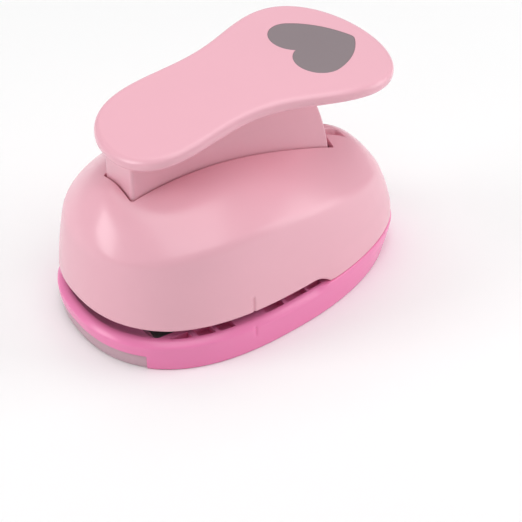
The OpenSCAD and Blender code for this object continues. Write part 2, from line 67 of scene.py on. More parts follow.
BODY_L = 119.4              # length and greatest width of the egg-shaped plan
BODY_W = 72.8
EGG = 0.23                  # how fast the plan narrows towards the rear
ROUND = 2.32                # exponent of the plan's superellipse
BASE_TOP = top_of("base_shell")
MOUTH_Z = 14.95             # the housing's wall leans in above this height
MOUTH_END = 16.6            # x at which the paper mouth ends on each side
MOUTH_BEND = 9.0            # x at which the mouth's upper edge starts to bend down
SHELL_T = 2.2
CUT_X = -15.5               # middle of the cut, marked on the housing and the base
MARK_W = 0.5                # reach of those marks along the body
PIVOT = np.array([-37.0, 34.0])
SLOT_X = (-41.8, 33.1)      # ends of the lever's slot in the housing
SLOT_HW = 8.95
BOX_X0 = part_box("lever_core")[0].x / MM
BOX_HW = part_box("lever_core")[1].y / MM
BOX_R = 69.0                # the lever box's rear wall is an arc about the pivot


def smooth(v):
    v = np.clip(v, 0, 1)
    return v * v * (3 - 2 * v)


def spow(v, p):
    return np.sign(v) * np.abs(v) ** p


def egg(t, inset):
    """Plan outline of the body at angle t, moved in by inset."""
    c, s = spow(np.cos(t), 2 / ROUND), spow(np.sin(t), 2 / ROUND)
    return np.stack([(BODY_L / 2 - inset) * c, (BODY_W / 2 - inset) * s * (1 - EGG * c)], -1)


def front_share(t):
    """1 at the front of the outline, 0 at the sides and behind them."""
    return np.maximum(-np.cos(t), 0) ** 2


def rear_share(t):
    return np.maximum(np.cos(t), 0) ** 2


def base_outline(t, z, inset):
    """Plan outline of the base at height z: it tapers below 9 mm, most of all at the rear."""
    d = np.maximum(0, 1 - z / 9)
    return egg(t, inset + d * (front_share(t) + 3.4 * rear_share(t)))


def crown_line(x):
    """Height of the dome along the middle of the body."""
    u = x + 17.3
    near = u < 0
    return 53.55 - np.where(near, 4.23, 4.7) * u**2 / 1e3 + np.where(near, 1.04, 0.72) * u**4 / 1e6


def hub(t):
    """Point on the middle line that the skin's line at angle t runs towards."""
    return np.stack([-41.4 + 72.1 * (1 + np.cos(t)) / 2, 0 * t], -1)


def shoulder_at(t, g):
    """Shoulder share, shoulder point in plan, and its height, for the skin moved in by g."""
    f, r = front_share(t), rear_share(t)
    s = 1 - f - r
    share = 0.945 * s + 0.874 * f + 0.837 * r
    rise = 0.688 * s + 0.603 * f + 0.418 * r
    h = hub(t)
    edge = h + (egg(t, 1 + g) - h) * share[..., None]
    z = MOUTH_Z + rise * (crown_line(edge[..., 0]) - g - MOUTH_Z)
    return share, edge, z


def crown_height(p, g):
    """Height of the crown's skin above the plan points p."""
    x, y = p[..., 0], np.maximum(np.abs(p[..., 1]), 1e-4)
    lo, hi = np.zeros_like(x), np.full_like(x, math.pi)
    for _ in range(42):
        mid = (lo + hi) / 2
        h = hub(mid)
        d = egg(mid, 1 + g) - h
        ahead = d[..., 0] * y - d[..., 1] * (x - h[..., 0]) > 0
        lo, hi = np.where(ahead, mid, lo), np.where(ahead, hi, mid)
    share, edge, edge_z = shoulder_at(lo, g)
    h = hub(lo)
    reach = np.hypot(x - h[..., 0], y) / np.hypot(*(np.moveaxis(edge - h, -1, 0)))
    drop = crown_line(edge[..., 0]) - g - edge_z
    return crown_line(x) - g - drop * np.minimum(reach, 1) ** 2.35


def wall_point(t, z, g):
    """Points of the housing's wall at angles t and heights z, moved in by g."""
    share, edge, edge_z = shoulder_at(t, g)
    h = hub(t)
    w = np.clip((z - MOUTH_Z) / (edge_z - MOUTH_Z), 0, 1)
    reach = 1 - (1 - share) * w**1.5
    # behind the mouth the foot widens until it is nearly flush with the base
    flare = 0.65 * smooth((egg(t, 1)[..., 0] - 12) / 9) * smooth((20 - z) / 10)
    p = h + (egg(t, 1 + g - flare) - h) * reach[..., None]
    return np.concatenate([p, np.broadcast_to(z, share.shape)[..., None]], -1)


def angles(n, spots=()):
    """n angles round the outline, closer together near each (angle, width, strength)."""
    fine = np.linspace(0, 2 * math.pi, 20001)
    density = np.ones_like(fine)
    for a, width, strength in spots:
        for b in (a, 2 * math.pi - a):
            density += strength * np.exp(-(((fine - b) / width) ** 2))
    total = np.concatenate([[0], np.cumsum((density[1:] + density[:-1]) / 2)])
    return np.interp(np.arange(n) / n * total[-1], total, fine)


def angle_at(x, inset=1.0):
    """Angle whose outline point lies at x on the +Y side."""
    c = x / (BODY_L / 2 - inset)
    return float(np.arccos(spow(np.array(c), ROUND / 2)))


# ---------------------------------------------------------------- mesh helpers

def new_object(name, verts, faces):
    mesh = bpy.data.meshes.new(name)
    mesh.from_pydata((np.asarray(verts) * MM).tolist(), [], faces)
    bm = bmesh.new()
    bm.from_mesh(mesh)
    bmesh.ops.remove_doubles(bm, verts=bm.verts, dist=2e-6)
    bmesh.ops.recalc_face_normals(bm, faces=bm.faces)
    bm.to_mesh(mesh)
    bm.free()
    obj = bpy.data.objects.new(name, mesh)
    bpy.context.scene.collection.objects.link(obj)
    return obj


def band_faces(m, n, loop=False, first=0):
    """Quads between m rings of n points each."""
    i = np.arange(m if loop else m - 1)[:, None]
    j = np.arange(n)[None, :]
    a, b = i * n + j, i * n + (j + 1) % n
    up = (i + 1) % m
    c, d = up * n + (j + 1) % n, up * n + j
    return (np.stack([a, b, c, d], -1).reshape(-1, 4) + first).tolist()


def rings_object(name, rings, loop=False, caps=True):
    """Skin through closed rings of equal length."""
    rings = [np.asarray(r, float) for r in rings]
    m, n = len(rings), len(rings[0])
    faces = band_faces(m, n, loop)
    if caps and not loop:
        faces.append(list(range(n)))
        faces.append(list(range((m - 1) * n, m * n)))
    return new_object(name, np.concatenate(rings), faces)


def prism(name, outline, z0, z1):
    """Closed prism over a plan outline."""
    o = np.asarray(outline, float)
    low = np.column_stack([o, np.full(len(o), z0)])
    high = np.column_stack([o, np.full(len(o), z1)])
    return rings_object(name, [low, high])


def cut(obj, cutters, operation="DIFFERENCE"):
    """Boolean with the cutters one by one, applied; the cutters are removed."""
    for c in cutters:
        mod = obj.modifiers.new("cut", "BOOLEAN")
        mod.operation, mod.object, mod.solver = operation, c, "EXACT"
        dg = bpy.context.evaluated_depsgraph_get()
        result = bpy.data.meshes.new_from_object(obj.evaluated_get(dg))
        obj.modifiers.clear()
        old, obj.data = obj.data, result
        bpy.data.meshes.remove(old)
        bpy.data.objects.remove(c)
    return obj


def shade(obj, degrees=32):
    for p in obj.data.polygons:
        p.use_smooth = True
    obj.data.set_sharp_from_angle(angle=math.radians(degrees))


def clean(obj, size):
    """Removes the slivers that the cuts leave behind, up to size in millimetres."""
    bm = bmesh.new()
    bm.from_mesh(obj.data)
    bmesh.ops.remove_doubles(bm, verts=bm.verts, dist=size * MM)
    bmesh.ops.dissolve_degenerate(bm, edges=bm.edges, dist=size * MM)
    bm.to_mesh(obj.data)
    bm.free()


def piece(obj, body, material, nodes, degrees=32, sliver=0.004):
    """Cleans, shades and paints obj, and lets it stand for the nodes on the body."""
    clean(obj, sliver)
    shade(obj, degrees)
    obj.data.materials.clear()
    obj.data.materials.append(material)
    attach(obj, body)
    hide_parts(*nodes)
    return obj


def rounded_rect(x0, x1, hw, radii, directions, centre):
    """Where rays from centre[i] along directions[i] leave a rounded rectangle.
    radii are those of the low-x and the high-x corners."""
    mid, half = (x0 + x1) / 2, (x1 - x0) / 2
    lo = np.zeros(len(directions))
    hi = np.full(len(directions), 80.0)
    for _ in range(46):
        k = (lo + hi) / 2
        p = centre + directions * k[:, None]
        r = np.where(p[:, 0] < mid, radii[0], radii[1])
        q = np.abs(p - [mid, 0]) - np.stack([half - r, hw - r], -1)
        outside = np.hypot(np.maximum(q[:, 0], 0), np.maximum(q[:, 1], 0))
        d = outside + np.minimum(q.max(1), 0) - r
        lo, hi = np.where(d < 0, k, lo), np.where(d < 0, hi, k)
    return centre + directions * lo[:, None]


# ---------------------------------------------------------------- materials

def node_tree(name):
    mat = bpy.data.materials.new(name)
    mat.use_nodes = True
    tree = mat.node_tree
    return mat, tree, tree.nodes["Principled BSDF"]


def noise(tree, scale, detail, stretch=(1, 1, 1)):
    """Noise in the piece's own coordinates, scale in cycles per metre."""
    coord = tree.nodes.new("ShaderNodeTexCoord")
    mapping = tree.nodes.new("ShaderNodeMapping")
    mapping.inputs["Scale"].default_value = stretch
    tex = tree.nodes.new("ShaderNodeTexNoise")
    tex.inputs["Scale"].default_value = scale
    tex.inputs["Detail"].default_value = detail
    tree.links.new(coord.outputs["Object"], mapping.inputs["Vector"])
    tree.links.new(mapping.outputs["Vector"], tex.inputs["Vector"])
    return tex.outputs["Fac"]


def spread(tree, fac, low, high):
    """Noise turned into the range low to high."""
    node = tree.nodes.new("ShaderNodeMapRange")
    node.inputs["From Min"].default_value = 0.3
    node.inputs["From Max"].default_value = 0.7
    node.inputs["To Min"].default_value = low
    node.inputs["To Max"].default_value = high
    tree.links.new(fac, node.inputs["Value"])
    return node.outputs["Result"]


def tint(tree, fac, a, b):
    node = tree.nodes.new("ShaderNodeMix")
    node.data_type = "RGBA"
    node.inputs["A"].default_value = (*a, 1)
    node.inputs["B"].default_value = (*b, 1)
    tree.links.new(fac, node.inputs["Factor"])
    return node.outputs["Result"]


def bump(tree, fac, strength, distance, before=None):
    node = tree.nodes.new("ShaderNodeBump")
    node.inputs["Strength"].default_value = strength
    node.inputs["Distance"].default_value = distance
    tree.links.new(fac, node.inputs["Height"])
    if before is not None:
        tree.links.new(before, node.inputs["Normal"])
    return node.outputs["Normal"]


def plastic(name, colour, rough, vary=0.01, grain=0.012):
    """Moulded plastic: faint flow marks in colour and gloss, and a fine spark-eroded grain."""
    mat, tree, bsdf = node_tree(name)
    flow = noise(tree, 28, 3, (1, 1, 2.2))
    dark = [c * (1 - vary) for c in colour]
    light = [min(1, c * (1 + vary * 0.6)) for c in colour]
    tree.links.new(tint(tree, spread(tree, flow, 0, 1), dark, light), bsdf.inputs["Base Color"])
    patches = noise(tree, 160, 4)
    tree.links.new(spread(tree, patches, rough - 0.015, rough + 0.02), bsdf.inputs["Roughness"])
    waves = bump(tree, noise(tree, 30, 1), 0.012, 0.0006)
    fine = bump(tree, noise(tree, 3800, 2), grain, 0.0001, waves)
    tree.links.new(fine, bsdf.inputs["Normal"])
    bsdf.inputs["IOR"].default_value = 1.5
    return mat


def metal(name, colour, rough, stretch, vary=0.12):
    """Ground or turned metal: fine lines along one direction, with cloudy gloss."""
    mat, tree, bsdf = node_tree(name)
    lines = noise(tree, 900, 3, stretch)
    dark = [c * (1 - vary) for c in colour]
    light = [min(1, c * (1 + vary)) for c in colour]
    tree.links.new(tint(tree, spread(tree, lines, 0, 1), dark, light), bsdf.inputs["Base Color"])
    cloud = noise(tree, 120, 4)
    tree.links.new(spread(tree, cloud, rough - 0.06, rough + 0.1), bsdf.inputs["Roughness"])
    tree.links.new(bump(tree, lines, 0.12, 0.00005), bsdf.inputs["Normal"])
    bsdf.inputs["Metallic"].default_value = 1.0
    return mat


PALE = plastic("pale_pink_plastic", (0.87, 0.46, 0.545), 0.24)
HOT = plastic("hot_pink_plastic", (0.92, 0.25, 0.495), 0.24)
GREY = plastic("grey_cover_plastic", (0.6, 0.4, 0.46), 0.45, 0.02, 0.05)
INLAY = plastic("grey_inlay_plastic", (0.25, 0.2, 0.215), 0.5, 0.02, 0.05)
WHITE = plastic("white_carrier_plastic", (0.8, 0.8, 0.78), 0.45)
STEEL = metal("ground_steel", (0.6, 0.61, 0.63), 0.3, (1, 0.06, 1))
HARD = metal("hardened_steel", (0.42, 0.4, 0.41), 0.38, (0.06, 1, 1))
WIRE = metal("spring_wire", (0.55, 0.56, 0.58), 0.25, (1, 1, 0.2))
BRASS = metal("turned_brass", (0.72, 0.52, 0.22), 0.28, (1, 1, 0.1))


# ---------------------------------------------------------------- upper housing

def slot_plan(t, off):
    """Point of the slot's edge, moved out by off, on the line from the hub to the outline."""
    h = hub(t)
    d = egg(t, 1) - h
    d /= np.linalg.norm(d, axis=1)[:, None]
    return rounded_rect(SLOT_X[0] - off, SLOT_X[1] + off, SLOT_HW + off,
                        (1.3 + off, 0.5 + off), d, h)


RELIEF_X = np.array([33.0, 34.4, 36.4, 38.7, 40.2, 41.6])


def relief(p, z):
    """Sinks the pair of small wings behind the slot into the heights z over plan points p.
    Each has an upright outer edge and a slanted side towards the centre line."""
    x, y = p[..., 0], np.abs(p[..., 1])
    edge = np.interp(x, RELIEF_X, [3.5, 3.55, 3.8, 4.0, 4.2, 4.35])
    start = np.interp(x, RELIEF_X, [0.8, 0.8, 0.8, 1.1, 2.2, 4.3])
    depth = np.interp(x, RELIEF_X, [4.6, 4.4, 3.7, 2.3, 1.0, 0.0])
    slope = smooth((y - start) / np.clip(edge - start, 0.05, 1.1))
    return z - depth * slope * smooth((edge + 0.15 - y) / 0.3) * smooth((x - 30) / 1.0)


def lip_height(x):
    """Height of the housing's lower edge: the mouth, its rounded end, and the seam behind it."""
    edge = np.interp(x, [-60, -43, -16, MOUTH_BEND], [15.7, 14.82, 14.5, 14.2])
    edge = edge + 0.3 * np.exp(-(((x - CUT_X) / MARK_W) ** 2))
    bend = np.clip((x - MOUTH_BEND) / (MOUTH_END - MOUTH_BEND), 0, 1)
    return edge - (14.18 - BASE_TOP) * bend**2


WALL_RINGS = 36
CROWN_RINGS = 58


def housing():
    """Dome with its slot, winged recess and inner face, as one closed skin."""
    t = angles(700, [(angle_at(MOUTH_END), 0.05, 3), (angle_at(CUT_X), 0.02, 6),
                     (math.radians(150), 0.08, 2.0), (math.radians(41), 0.05, 2.0)])
    low = lip_height(egg(t, 1)[:, 0])
    edge_r = 0.4
    skin = []
    _, edge, edge_z = shoulder_at(t, 0)
    for u in np.linspace(0, 1, WALL_RINGS):
        skin.append(wall_point(t, low + edge_r + (edge_z - low - edge_r) * u, 0))
    fillet = 0.25
    rim = slot_plan(t, fillet)
    for u in np.linspace(0, 1, CROWN_RINGS)[1:]:
        p = edge * (1 - u) + rim * u
        skin.append(np.column_stack([p, crown_height(p, 0)]))
    skin = np.array(skin)
    # the shoulder's crease is soft
    steps = np.linalg.norm(np.diff(skin, axis=0), axis=2)
    run = np.concatenate([np.zeros((1, len(t))), np.cumsum(steps, axis=0)])
    away = (run - run[WALL_RINGS - 1]) / 5.0
    weight = (0.5 * np.exp(-away**2))[1:-1, :, None]
    for _ in range(14):
        mean = (skin[2:] + skin[:-2]) / 2
        skin[1:-1] += (mean - skin[1:-1]) * weight
    skin[..., 2] = np.where(skin[..., 2] > 36, relief(skin[..., :2], skin[..., 2]), skin[..., 2])
    # alignment mark: an upright groove above the notch, up to the given height
    mark_depth, mark_top = 0.55, 20.3
    out = skin[0, :, :2] - hub(t)
    out /= np.linalg.norm(out, axis=1)[:, None]
    along = np.exp(-(((skin[..., 0] - CUT_X) / MARK_W) ** 2))
    mark = mark_depth * along * smooth((mark_top - skin[..., 2]) / 0.8)
    skin[..., :2] -= out[None] * mark[..., None]
    rings = list(skin)
    for a in (30, 60, 90):
        p = slot_plan(t, fillet * (1 - math.sin(math.radians(a))))
        z = relief(p, crown_height(p, 0)) - fillet * (1 - math.cos(math.radians(a)))
        rings.append(np.column_stack([p, z]))
    inner_rim = slot_plan(t, 0)
    under = np.minimum(crown_height(inner_rim, SHELL_T), rings[-1][:, 2] - 1.2)
    rings.append(np.column_stack([inner_rim, (rings[-1][:, 2] + under) / 2]))
    rings.append(np.column_stack([inner_rim, under]))
    _, in_edge, in_z = shoulder_at(t, SHELL_T)
    for u in np.linspace(0, 1, 22)[1:]:
        p = inner_rim * (1 - u) + in_edge * u
        z = np.minimum(crown_height(p, SHELL_T), relief(p, crown_height(p, 0)) - 1.2)
        rings.append(np.column_stack([p, z]))
    for u in np.linspace(1, 0, 12)[1:]:
        rings.append(wall_point(t, low + edge_r + (in_z - low - edge_r) * u, SHELL_T))
    for g, dz in ((SHELL_T - 0.12, 0.12), (SHELL_T - 0.4, 0.0), (1.1, 0.0), (0.4, 0.0), (0.12, 0.12)):
        rings.append(wall_point(t, low + dz, g))
    return rings_object("housing", rings, loop=True)


# ---------------------------------------------------------------- base

COVER_LIP_X = -48.8         # the grey cover's lip shows in front of this
COVER_LIP_H = 5.0
CHIP = (-40.0, 9.0, 26.5, 12.0)     # chip opening: ends, half width and corner cut
CHIP_WALL = 2.5             # thickness of the wall round it
POCKETS = [(-42.1, -35.5), (-33.7, -28.2), (-26.8, -21.4), (-9.8, -2.6), (-1.3, 7.0), (8.0, 13.5)]


def chip_ray(t, g):
    """Point of the chip opening's outline seen from its middle in the outline's direction."""
    x0, x1, hw, c = CHIP[0] - g, CHIP[1] + g, CHIP[2] + g, CHIP[3]
    mid = np.array([(x0 + x1) / 2, 0])
    d = egg(t, 0) - mid
    d /= np.linalg.norm(d, axis=1)[:, None]
    half = (x1 - x0) / 2
    with np.errstate(divide="ignore"):
        k = np.minimum(half / np.abs(d[:, 0]), hw / np.abs(d[:, 1]))
    k = np.minimum(k, (half + hw - c) / (np.abs(d[:, 0]) + np.abs(d[:, 1])))
    return mid + d * k[:, None]


# how far the base's upper edge is rounded in at each height, in the mouth and behind it
RIM_Z = np.array([8.4, 8.75, 9.1, 9.5, 9.9, 10.2, 10.42, 10.55, 10.6])
RIM_FRONT = np.array([0.0, 0.07, 0.3, 0.68, 1.1, 1.46, 1.85, 2.2, 2.7])
RIM_REAR = np.array([0.1, 0.1, 0.1, 0.1, 0.1, 0.12, 0.18, 0.28, 0.6])


def base_solid(name, levels, t):
    return rings_object(name, [np.column_stack([base_outline(t, z, i), np.full(len(t), z)])
                               for z, i in levels])


def base():
    """Tray with its rim, ramp, pockets and hollow underside."""
    lip_at = angle_at(COVER_LIP_X, 0.9)
    t = angles(560, [(angle_at(MOUTH_END), 0.08, 2), (angle_at(CUT_X), 0.03, 5)])
    t = np.sort(np.concatenate([t, [lip_at - 1e-4, lip_at + 1e-4],
                                2 * math.pi - np.array([lip_at - 1e-4, lip_at + 1e-4])]))
    n = len(t)
    x = egg(t, 0)[:, 0]
    front = smooth((15.5 - x) / 6)
    behind_lip = (np.minimum(t, 2 * math.pi - t) > lip_at) * 1.0
    hollow = 3.0
    mark_depth = 0.45
    rings = [np.column_stack([base_outline(t, 0, hollow + 1.5), np.full(n, 0.0)])]
    # the foot: its front is cut away for the cover's lip
    for z, i in ((0.0, 0.55), (0.12, 0.25), (0.35, 0.06), (0.7, 0.0), (2.6, 0.0),
                 (COVER_LIP_H - 0.25, 0.0), (COVER_LIP_H, 0.0)):
        inset = np.where(behind_lip > 0, hollow + 0.5, i)
        rings.append(np.column_stack([base_outline(t, z, inset), np.full(n, z)]))
    z = COVER_LIP_H + 0.05
    for i in (0.25, 0.0):
        rings.append(np.column_stack([base_outline(t, z, np.where(behind_lip > 0, i, 0)),
                                      np.full(n, z + 0.25 - i)]))
    groove = np.exp(-(((x - CUT_X) / MARK_W) ** 2))
    for z in (5.7, 6.3, 7.0, 7.7):
        mark = mark_depth * groove * smooth((z - 5.4) / 0.5)
        rings.append(np.column_stack([base_outline(t, z, mark), np.full(n, z)]))
    for z, a, b in zip(RIM_Z, RIM_FRONT, RIM_REAR):
        mark = mark_depth * groove * smooth((9.3 - z) / 0.5)
        rings.append(np.column_stack([base_outline(t, z, a * front + b * (1 - front) + mark),
                                      np.full(n, z)]))
    obj = rings_object("base", rings)
    # the cutters' own angles, turned a little so that no edge meets one of the base's
    plain = np.linspace(0, 2 * math.pi, 250, endpoint=False) + 0.004
    cutters = []
    # hollow underside, with a wall left round the chip opening
    inside = base_solid("cut_hollow", [(-1, hollow), (5.02, hollow)], plain)
    cut(inside, [prism("keep_wall", chip_ray(plain, CHIP_WALL), -2, 7)])
    cutters.append(inside)
    cutters.append(prism("cut_chip", chip_ray(plain, 0), -1, 12))
    die_gap, pocket_gap = 0.05, 2.2
    die_lo, die_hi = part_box("die_plate")
    x0 = die_lo.x / MM - die_gap
    x1 = die_hi.x / MM + die_gap
    hw = die_hi.y / MM + die_gap
    die = [(x0, -hw + 0.8), (x0 + 0.8, -hw), (x1, -hw), (x1, hw), (x0 + 0.8, hw), (x0, hw - 0.8)]
    cutters.append(prism("cut_die", die, die_lo.z / MM, 12))
    # pockets between the rim and the die plate
    for a, b in POCKETS:
        for side in (1, -1):
            cutters.append(pocket(a, b, hw + pocket_gap, side))
    ramp = base_solid("cut_ramp", [(8.4, 8), (8.9, 5.6), (10.6, 3.0), (11.6, 2.2)], plain)
    edge = x0 + 0.5
    ahead = prism("ahead", [(-80, -60), (edge, -60), (edge, 60), (-80, 60)], 0, 30)
    cut(ramp, [ahead], "INTERSECT")
    cutters.append(ramp)
    return cut(obj, cutters)


def pocket(x0, x1, y0, side):
    """Cutter of one pocket: straight sides, and an outer side along the rim."""
    rim_t = 2.5
    xs = np.linspace(x0, x1, 60)
    t = np.array([angle_at(v, rim_t) for v in xs])
    outer = egg(t, rim_t)[:, 1]
    xs, outer = xs[outer > y0 + 0.02], outer[outer > y0 + 0.02]
    outline = [(xs[0], y0 * side), *[(a, b * side) for a, b in zip(xs, outer)], (x1, y0 * side)]
    if side < 0:
        outline = outline[::-1]
    return prism("cut_pocket", outline, 8.2, 12.0)


def cover():
    """Flat plate under the base, with the lip that shows at the front."""
    lip_at = angle_at(COVER_LIP_X - 0.1, 0.9)
    t = angles(420)
    pair = np.array([lip_at - 1e-4, lip_at + 1e-4])
    t = np.sort(np.concatenate([t, pair, 2 * math.pi - pair]))
    n = len(t)
    lip = np.minimum(t, 2 * math.pi - t) > lip_at
    inner = chip_ray(t, 2.6)
    plate_t = 1.6

    def ring(z_lip, i_lip, z_flat, i_flat):
        z = np.where(lip, z_lip, z_flat)
        return np.column_stack([base_outline(t, z, np.where(lip, i_lip, i_flat)), z])

    rings = [np.column_stack([inner, np.zeros(n)]), ring(0, 1.0, 0, 3.5), ring(0.2, 0.6, 0.1, 3.2),
             ring(0.7, 0.4, 0.4, 3.1), ring(2.6, 0.4, 0.9, 3.1), ring(4.3, 0.4, 1.2, 3.1),
             ring(4.75, 0.6, 1.45, 3.15), ring(5.0, 1.1, plate_t, 3.4), ring(5.0, 2.8, plate_t, 3.8),
             ring(plate_t, 2.9, plate_t, 4.6), np.column_stack([inner, np.full(n, plate_t)])]
    return rings_object("bottom_cover_skin", rings, loop=True)


# ---------------------------------------------------------------- lever

LEVER_X = np.array([46.51, 2.28, 2.55, 0.66]) * math.cos(math.radians(7.07))
LEVER_Y = np.array([28.13, 4.75, 7.54, 0.59])
LEVER_MID = 0.8


def lever_top(x):
    return 75.84 + 0.124 * x - 2.364 * x * x / 1000


def lever_outline(t, inset):
    """Plan outline of the lever, moved in by inset: a long oval with a waist."""
    k = np.arange(1, 5)
    kt = np.outer(t, k)
    p = np.stack([LEVER_MID + np.cos(kt) @ LEVER_X, np.sin(kt) @ LEVER_Y], -1)
    d = np.stack([-np.sin(kt) @ (k * LEVER_X), np.cos(kt) @ (k * LEVER_Y)], -1)
    d /= np.linalg.norm(d, axis=1)[:, None]
    return p + np.broadcast_to(inset, (len(t),))[:, None] * np.stack([-d[:, 1], d[:, 0]], -1)


def slab(name, rims, n=240, across=26):
    """Curved plate through rims of (inset, distance below the top face), bottom first.
    Both faces are grids whose lines run straight across."""
    t = np.arange(n) * 2 * math.pi / n
    rings = []
    for inset, down in rims:
        p = lever_outline(t, inset)
        rings.append(np.column_stack([p, lever_top(p[:, 0]) - down]))
    verts = [np.concatenate(rings)]
    faces = band_faces(len(rims), n)
    count = len(rims) * n
    for ring, first in ((rings[0], 0), (rings[-1], (len(rims) - 1) * n)):
        down = rims[0][1] if first == 0 else rims[-1][1]
        half = n // 2
        grid = {}
        for j in range(1, half):
            a, b = ring[j], ring[n - j]
            for k in range(across + 1):
                if k == 0:
                    grid[j, k] = first + j
                elif k == across:
                    grid[j, k] = first + n - j
                else:
                    q = a + (b - a) * k / across
                    verts.append([[q[0], q[1], lever_top(q[0]) - down]])
                    grid[j, k] = count
                    count += 1
        for j in range(1, half - 1):
            for k in range(across):
                faces.append([grid[j, k], grid[j + 1, k], grid[j + 1, k + 1], grid[j, k + 1]])
        for tip, j in ((0, 1), (half, half - 1)):
            for k in range(across):
                faces.append([first + tip, grid[j, k], grid[j, k + 1]])
    verts = np.concatenate([np.asarray(v, float).reshape(-1, 3) for v in verts])
    return new_object(name, verts, faces)


def arc(c, r, a0, a1, n):
    a = np.radians(np.linspace(a0, a1, n))
    return np.stack([c[0] + r * np.cos(a), c[1] + r * np.sin(a)], -1)


def heart(tip_r):
    """Heart with its tip towards +X: lobe, long side and tip arcs that meet smoothly."""
    lobe_r, lobe_y, side_r, start = 13.45, 12.0, 50.0, 70
    lobe = np.array([-9.2, lobe_y])
    a = math.radians(start)
    side = lobe - (side_r - lobe_r) * np.array([math.cos(a), math.sin(a)])
    tip_a = math.degrees(math.asin(-side[1] / (side_r - tip_r)))
    b = math.radians(tip_a)
    tip = side + (side_r - tip_r) * np.array([math.cos(b), math.sin(b)])
    notch = 180 + math.degrees(math.asin(lobe_y / lobe_r))
    half = np.concatenate([arc(lobe, lobe_r, notch, start, 60), arc(side, side_r, start, tip_a, 30)[1:],
                           arc(tip, tip_r, tip_a, 0, 9)[1:]])
    lower = half[-2:0:-1] * [1, -1]
    return np.concatenate([half, lower])


INLAY_X = 32.7
INLAY_TURN = math.radians(-4)
INLAY_SCALE = [0.56, 0.67]
INLAY_TIP_R = 3.4


def inlay_outline(g):
    """Outline of the inlaid heart, moved out by g."""
    p = heart(INLAY_TIP_R) * INLAY_SCALE
    along = np.roll(p, -1, 0) - np.roll(p, 1, 0)
    along /= np.linalg.norm(along, axis=1)[:, None]
    p = p + g * np.stack([-along[:, 1], along[:, 0]], -1)
    c, s = math.cos(INLAY_TURN), math.sin(INLAY_TURN)
    return p @ np.array([[c, s], [-s, c]]) + [INLAY_X, 0]


def lever_plate():
    """Top plate with rounded edges, a shallow hollow below and the heart's recess."""
    outer = []
    for a in np.radians(np.arange(-90, 1, 15)):
        outer.append((1.7 * (1 - math.cos(a)), 2.35 - 1.65 * math.sin(a)))
    for a in np.radians(np.arange(0, 91, 10)):
        outer.append((1.9 * (1 - math.cos(a)), 1.75 * (1 - math.sin(a))))
    obj = slab("lever_plate", outer)
    hollow = slab("cut_under", [(3.2, 5.5), (3.2, 4.0), (3.4, 2.8), (3.9, 2.4)], n=160, across=8)
    recess = prism("cut_recess", inlay_outline(0.05), 60, 90)
    floor = slab("keep_floor", [(2.5, 0.8), (2.5, -6.0)], n=160, across=8)
    cut(recess, [floor], "INTERSECT")
    return cut(obj, [hollow, recess])


def heart_piece():
    """Thin heart that follows the plate's curve and lies just below its face."""
    obj = slab("inlay", [(2.5, 0.78), (2.5, 0.04)], n=200, across=30)
    return cut(obj, [prism("keep_heart", inlay_outline(-0.04), 60, 90)], "INTERSECT")


def box_ring(u, hw, x0, inset_r, top, corner):
    """One ring of the lever's box: u runs from its sole to its roof."""
    t = angles(300, [(math.radians(150), 0.1, 2.5), (math.radians(41), 0.08, 2.5)])
    h = hub(t)
    h[:, 0] = np.clip(h[:, 0], x0 + 3, 20)
    d = egg(t, 1) - h
    d /= np.linalg.norm(d, axis=1)[:, None]
    z = np.full(len(t), 45.0)
    for _ in range(8):
        x1 = PIVOT[0] + np.sqrt(np.maximum((BOX_R - inset_r) ** 2 - (z - PIVOT[1]) ** 2, 1))
        p = rounded_rect(x0, 30.0, hw, corner, d, h)
        s = np.clip((p[:, 0] - 10) / 20, 0, 1)
        p[:, 0] += (x1 - 30.0) * s
        sole = np.interp(p[:, 0], [-42, -32, -20, -10, 0, 32], [29, 29.5, 31, 31, 33, 37])
        z = sole + (lever_top(p[:, 0]) - top - sole) * u
    return np.column_stack([p, z])


def lever_box():
    """Deep box under the plate, open below."""
    wall, roof = 1.8, 1.8
    corners = (1.3, 0.6)
    top = 2.5
    rings = [box_ring(u, BOX_HW, BOX_X0, 0, top, corners) for u in np.linspace(0, 1, 26)]
    inner = [box_ring(u, BOX_HW - wall, BOX_X0 + wall, wall, top + roof, (0.6, 0.4))
             for u in (1.0, 0.97, 0.5, 0.0)]
    m, n = len(rings) + len(inner), len(rings[0])
    verts = np.concatenate(rings[::-1] + inner[::-1])
    # one skin: roof, outer walls down to the sole, inner walls up to the ceiling
    faces = band_faces(m, n)
    faces += [list(range(n)), list(range((m - 1) * n, m * n))]
    return new_object("lever_box", verts, faces)


# ---------------------------------------------------------------- springs

def coil(low, high, centre):
    """Compression spring round centre. Its two end turns run on past low and high, by dip."""
    turns, wire, r = 6.0, 0.35, 3.6
    dip = wire * 0.9
    steps, sides = 260, 12
    k = np.linspace(0, 1, steps + 1)
    a = 2 * math.pi * turns * k
    lift = np.clip((k * turns - 0.8) / (turns - 1.6), 0, 1)
    z = low + wire + (high - low - 2 * wire) * lift
    z += dip * (smooth(k * turns) - smooth(turns - k * turns))
    b = np.arange(sides) * 2 * math.pi / sides
    rad = r + wire * np.cos(b)[None, :]
    verts = np.stack([centre[0] + rad * np.cos(a)[:, None], centre[1] + rad * np.sin(a)[:, None],
                      z[:, None] + wire * np.sin(b)[None, :]], -1).reshape(-1, 3)
    faces = band_faces(steps + 1, sides)
    faces += [list(range(sides)), list(range(steps * sides, (steps + 1) * sides))]
    return verts, faces


SPRING_PLACES = [(-42.3, 18), (-42.3, -18), (12.9, 19.5), (12.9, -19.5)]


def springs():
    """The four return springs round the guide posts, as one piece."""
    low, high = low_of("return_springs"), top_of("return_springs")
    verts, faces = [], []
    for centre in SPRING_PLACES:
        v, f = coil(low, high, centre)
        faces += [[i + sum(map(len, verts)) for i in q] for q in f]
        verts.append(v)
    return new_object("springs", np.concatenate(verts), faces)


